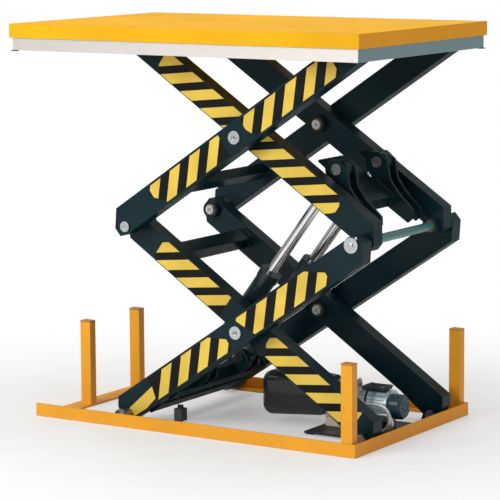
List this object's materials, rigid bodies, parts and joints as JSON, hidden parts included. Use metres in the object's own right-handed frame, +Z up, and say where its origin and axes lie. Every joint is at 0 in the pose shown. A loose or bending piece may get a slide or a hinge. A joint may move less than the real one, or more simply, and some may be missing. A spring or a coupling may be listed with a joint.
{
  "type": "scissor lift table",
  "caption": "Double scissor hydraulic lift table: floor frame with corner posts, stacked scissor arms with hazard tape, hydraulic cylinders, power pack and safety-bar platform.",
  "frame": {"origin": "on the floor, under the middle of the platform", "axes": "+Z up, +X along the platform towards the hinged end with the power pack, Y across"},
  "size_m": [1.3, 0.822, 1.2885],
  "materials": {
    "yellow_paint": "semi-gloss powder coat",
    "dark_paint": "gloss enamel, very dark blue green",
    "hazard_tape": "vinyl tape",
    "bright_steel": "zinc plated and turned",
    "roller_steel": "turned steel",
    "chrome_rod": "hard chrome",
    "barrel_paint": "black enamel",
    "bronze": "sintered bronze",
    "pack_aluminium": "machined and die-cast",
    "bar_aluminium": "satin anodised",
    "tank_plastic": "moulded black",
    "plate_black": "black enamel",
    "cast_cream": "pale primer on a casting",
    "cowl_teal": "dark blue green enamel",
    "hose_braid": "braided steel",
    "button_red": "moulded"
  },
  "bodies": {
    "base": {"base_frame": "yellow_paint", "support_posts": "yellow_paint", "post_caps": "yellow_paint", "base_pivot_brackets": "dark_paint", "base_pivot_pins": "bright_steel", "power_pack_plate": "plate_black", "oil_tank": "tank_plastic", "oil_filler_cap": "tank_plastic", "manifold_block": "pack_aluminium", "solenoid_valve": "tank_plastic", "pump_housing": "cast_cream", "motor_body": "pack_aluminium", "motor_cowl": "cowl_teal", "motor_terminal_box": "tank_plastic", "pack_screws": "bright_steel", "hydraulic_hoses": "hose_braid", "hose_fittings": "bright_steel", "limit_switch_body": "tank_plastic"},
    "lowering_button": {"lowering_button": "button_red"},
    "limit_switch_lever": {"limit_switch_lever": "bright_steel"},
    "lower_inner": {"lower_inner_arms": "dark_paint", "lower_inner_cross_tube": "dark_paint", "lower_inner_bushes": "bronze", "lower_inner_tape": "hazard_tape"},
    "lower_outer": {"lower_outer_arms": "dark_paint", "lower_outer_cross_tubes": "dark_paint", "lower_outer_tape": "hazard_tape", "cylinder_saddles": "dark_paint", "lower_centre_pins": "bright_steel", "right_mid_shaft": "cowl_teal", "right_mid_washers": "bright_steel", "lower_roller_axles": "bright_steel"},
    "lower_front_roller": {"lower_front_roller": "roller_steel"},
    "lower_rear_roller": {"lower_rear_roller": "roller_steel"},
    "upper_outer": {"upper_outer_arms": "dark_paint", "upper_outer_cross_tube": "dark_paint", "upper_outer_tape": "hazard_tape", "upper_centre_pins": "bright_steel", "left_mid_pins": "bright_steel"},
    "upper_inner": {"upper_inner_arms": "dark_paint", "upper_inner_torsion_box": "dark_paint", "upper_inner_bushes": "bronze", "upper_inner_tape": "hazard_tape", "cylinder_upper_lugs": "dark_paint", "cylinder_upper_pins": "bright_steel", "upper_roller_axles": "bright_steel"},
    "upper_front_roller": {"upper_front_roller": "roller_steel"},
    "upper_rear_roller": {"upper_rear_roller": "roller_steel"},
    "piston_rods": {"piston_rods": "chrome_rod", "rod_eyes": "dark_paint"},
    "cylinder_barrels": {"cylinder_barrels": "barrel_paint", "cylinder_glands": "barrel_paint", "cylinder_base_eyes": "dark_paint"},
    "platform": {"platform_deck": "yellow_paint", "platform_stiffeners": "yellow_paint", "platform_pivot_brackets": "yellow_paint", "platform_pivot_pins": "bright_steel", "bar_hanger_bolts": "bright_steel"},
    "safety_bar": {"safety_bar": "bar_aluminium", "safety_bar_corners": "tank_plastic"}
  },
  "joints": [
    {"name": "fold", "type": "hinge", "parent": "base", "child": "lower_inner", "pos_m": [0.57, 0, 0.03], "axis": [0, -1, 0], "range_deg": [0, 28.7]},
    {"name": "lower_centre_pivot", "type": "hinge", "parent": "lower_inner", "child": "lower_outer", "pos_m": [0.15038, 0, 0.33711], "axis": [0, -1, 0], "range_deg": [-57.5, 0]},
    {"name": "left_mid_pivot", "type": "hinge", "parent": "lower_inner", "child": "upper_outer", "pos_m": [-0.26924, 0, 0.64423], "axis": [0, -1, 0], "range_deg": [-57.5, 0]},
    {"name": "upper_centre_pivot", "type": "hinge", "parent": "upper_outer", "child": "upper_inner", "pos_m": [0.15038, 0, 0.95134], "axis": [0, -1, 0], "range_deg": [0, 57.5]},
    {"name": "platform_pivot", "type": "hinge", "parent": "upper_outer", "child": "platform", "pos_m": [0.57, 0, 1.25846], "axis": [0, -1, 0], "range_deg": [0, 28.8]},
    {"name": "cylinder_upper_pivot", "type": "hinge", "parent": "upper_inner", "child": "piston_rods", "pos_m": [0.42358, 0, 0.85053], "axis": [0, -1, 0], "range_deg": [-62.5, 0]},
    {"name": "cylinder_stroke", "type": "slide", "parent": "piston_rods", "child": "cylinder_barrels", "axis": [0.6025, 0, 0.7981], "range_m": [0, 0.237]},
    {"name": "lower_front_roller_spin", "type": "hinge", "parent": "lower_outer", "child": "lower_front_roller", "pos_m": [-0.26924, -0.339, 0.03], "axis": [0, -1, 0], "continuous": true},
    {"name": "lower_rear_roller_spin", "type": "hinge", "parent": "lower_outer", "child": "lower_rear_roller", "pos_m": [-0.26924, 0.339, 0.03], "axis": [0, -1, 0], "continuous": true},
    {"name": "upper_front_roller_spin", "type": "hinge", "parent": "upper_inner", "child": "upper_front_roller", "pos_m": [-0.26924, -0.274, 1.25846], "axis": [0, -1, 0], "continuous": true},
    {"name": "upper_rear_roller_spin", "type": "hinge", "parent": "upper_inner", "child": "upper_rear_roller", "pos_m": [-0.26924, 0.274, 1.25846], "axis": [0, -1, 0], "continuous": true},
    {"name": "safety_bar_lift", "type": "slide", "parent": "platform", "child": "safety_bar", "axis": [0, 0, 1], "range_m": [0, 0.01]},
    {"name": "lowering_button_press", "type": "slide", "parent": "base", "child": "lowering_button", "axis": [0, -1, 0], "range_m": [0, 0.003], "stiffness_N_per_m": 500},
    {"name": "limit_switch_tilt", "type": "hinge", "parent": "base", "child": "limit_switch_lever", "pos_m": [-0.04, -0.35, 0.088], "axis": [0, -1, 0], "range_deg": [-25, 25], "stiffness_Nm_per_rad": 0.2}
  ],
  "couplings": [
    {"joint": "lower_centre_pivot", "follows": "fold", "ratio": -2},
    {"joint": "left_mid_pivot", "follows": "fold", "ratio": -2},
    {"joint": "upper_centre_pivot", "follows": "fold", "ratio": 2},
    {"joint": "platform_pivot", "follows": "fold", "ratio": 1},
    {"joint": "cylinder_upper_pivot", "follows": "fold", "ratio": -2.1501},
    {"joint": "cylinder_stroke", "follows": "fold", "m_per_rad": 0.47246}
  ]
}
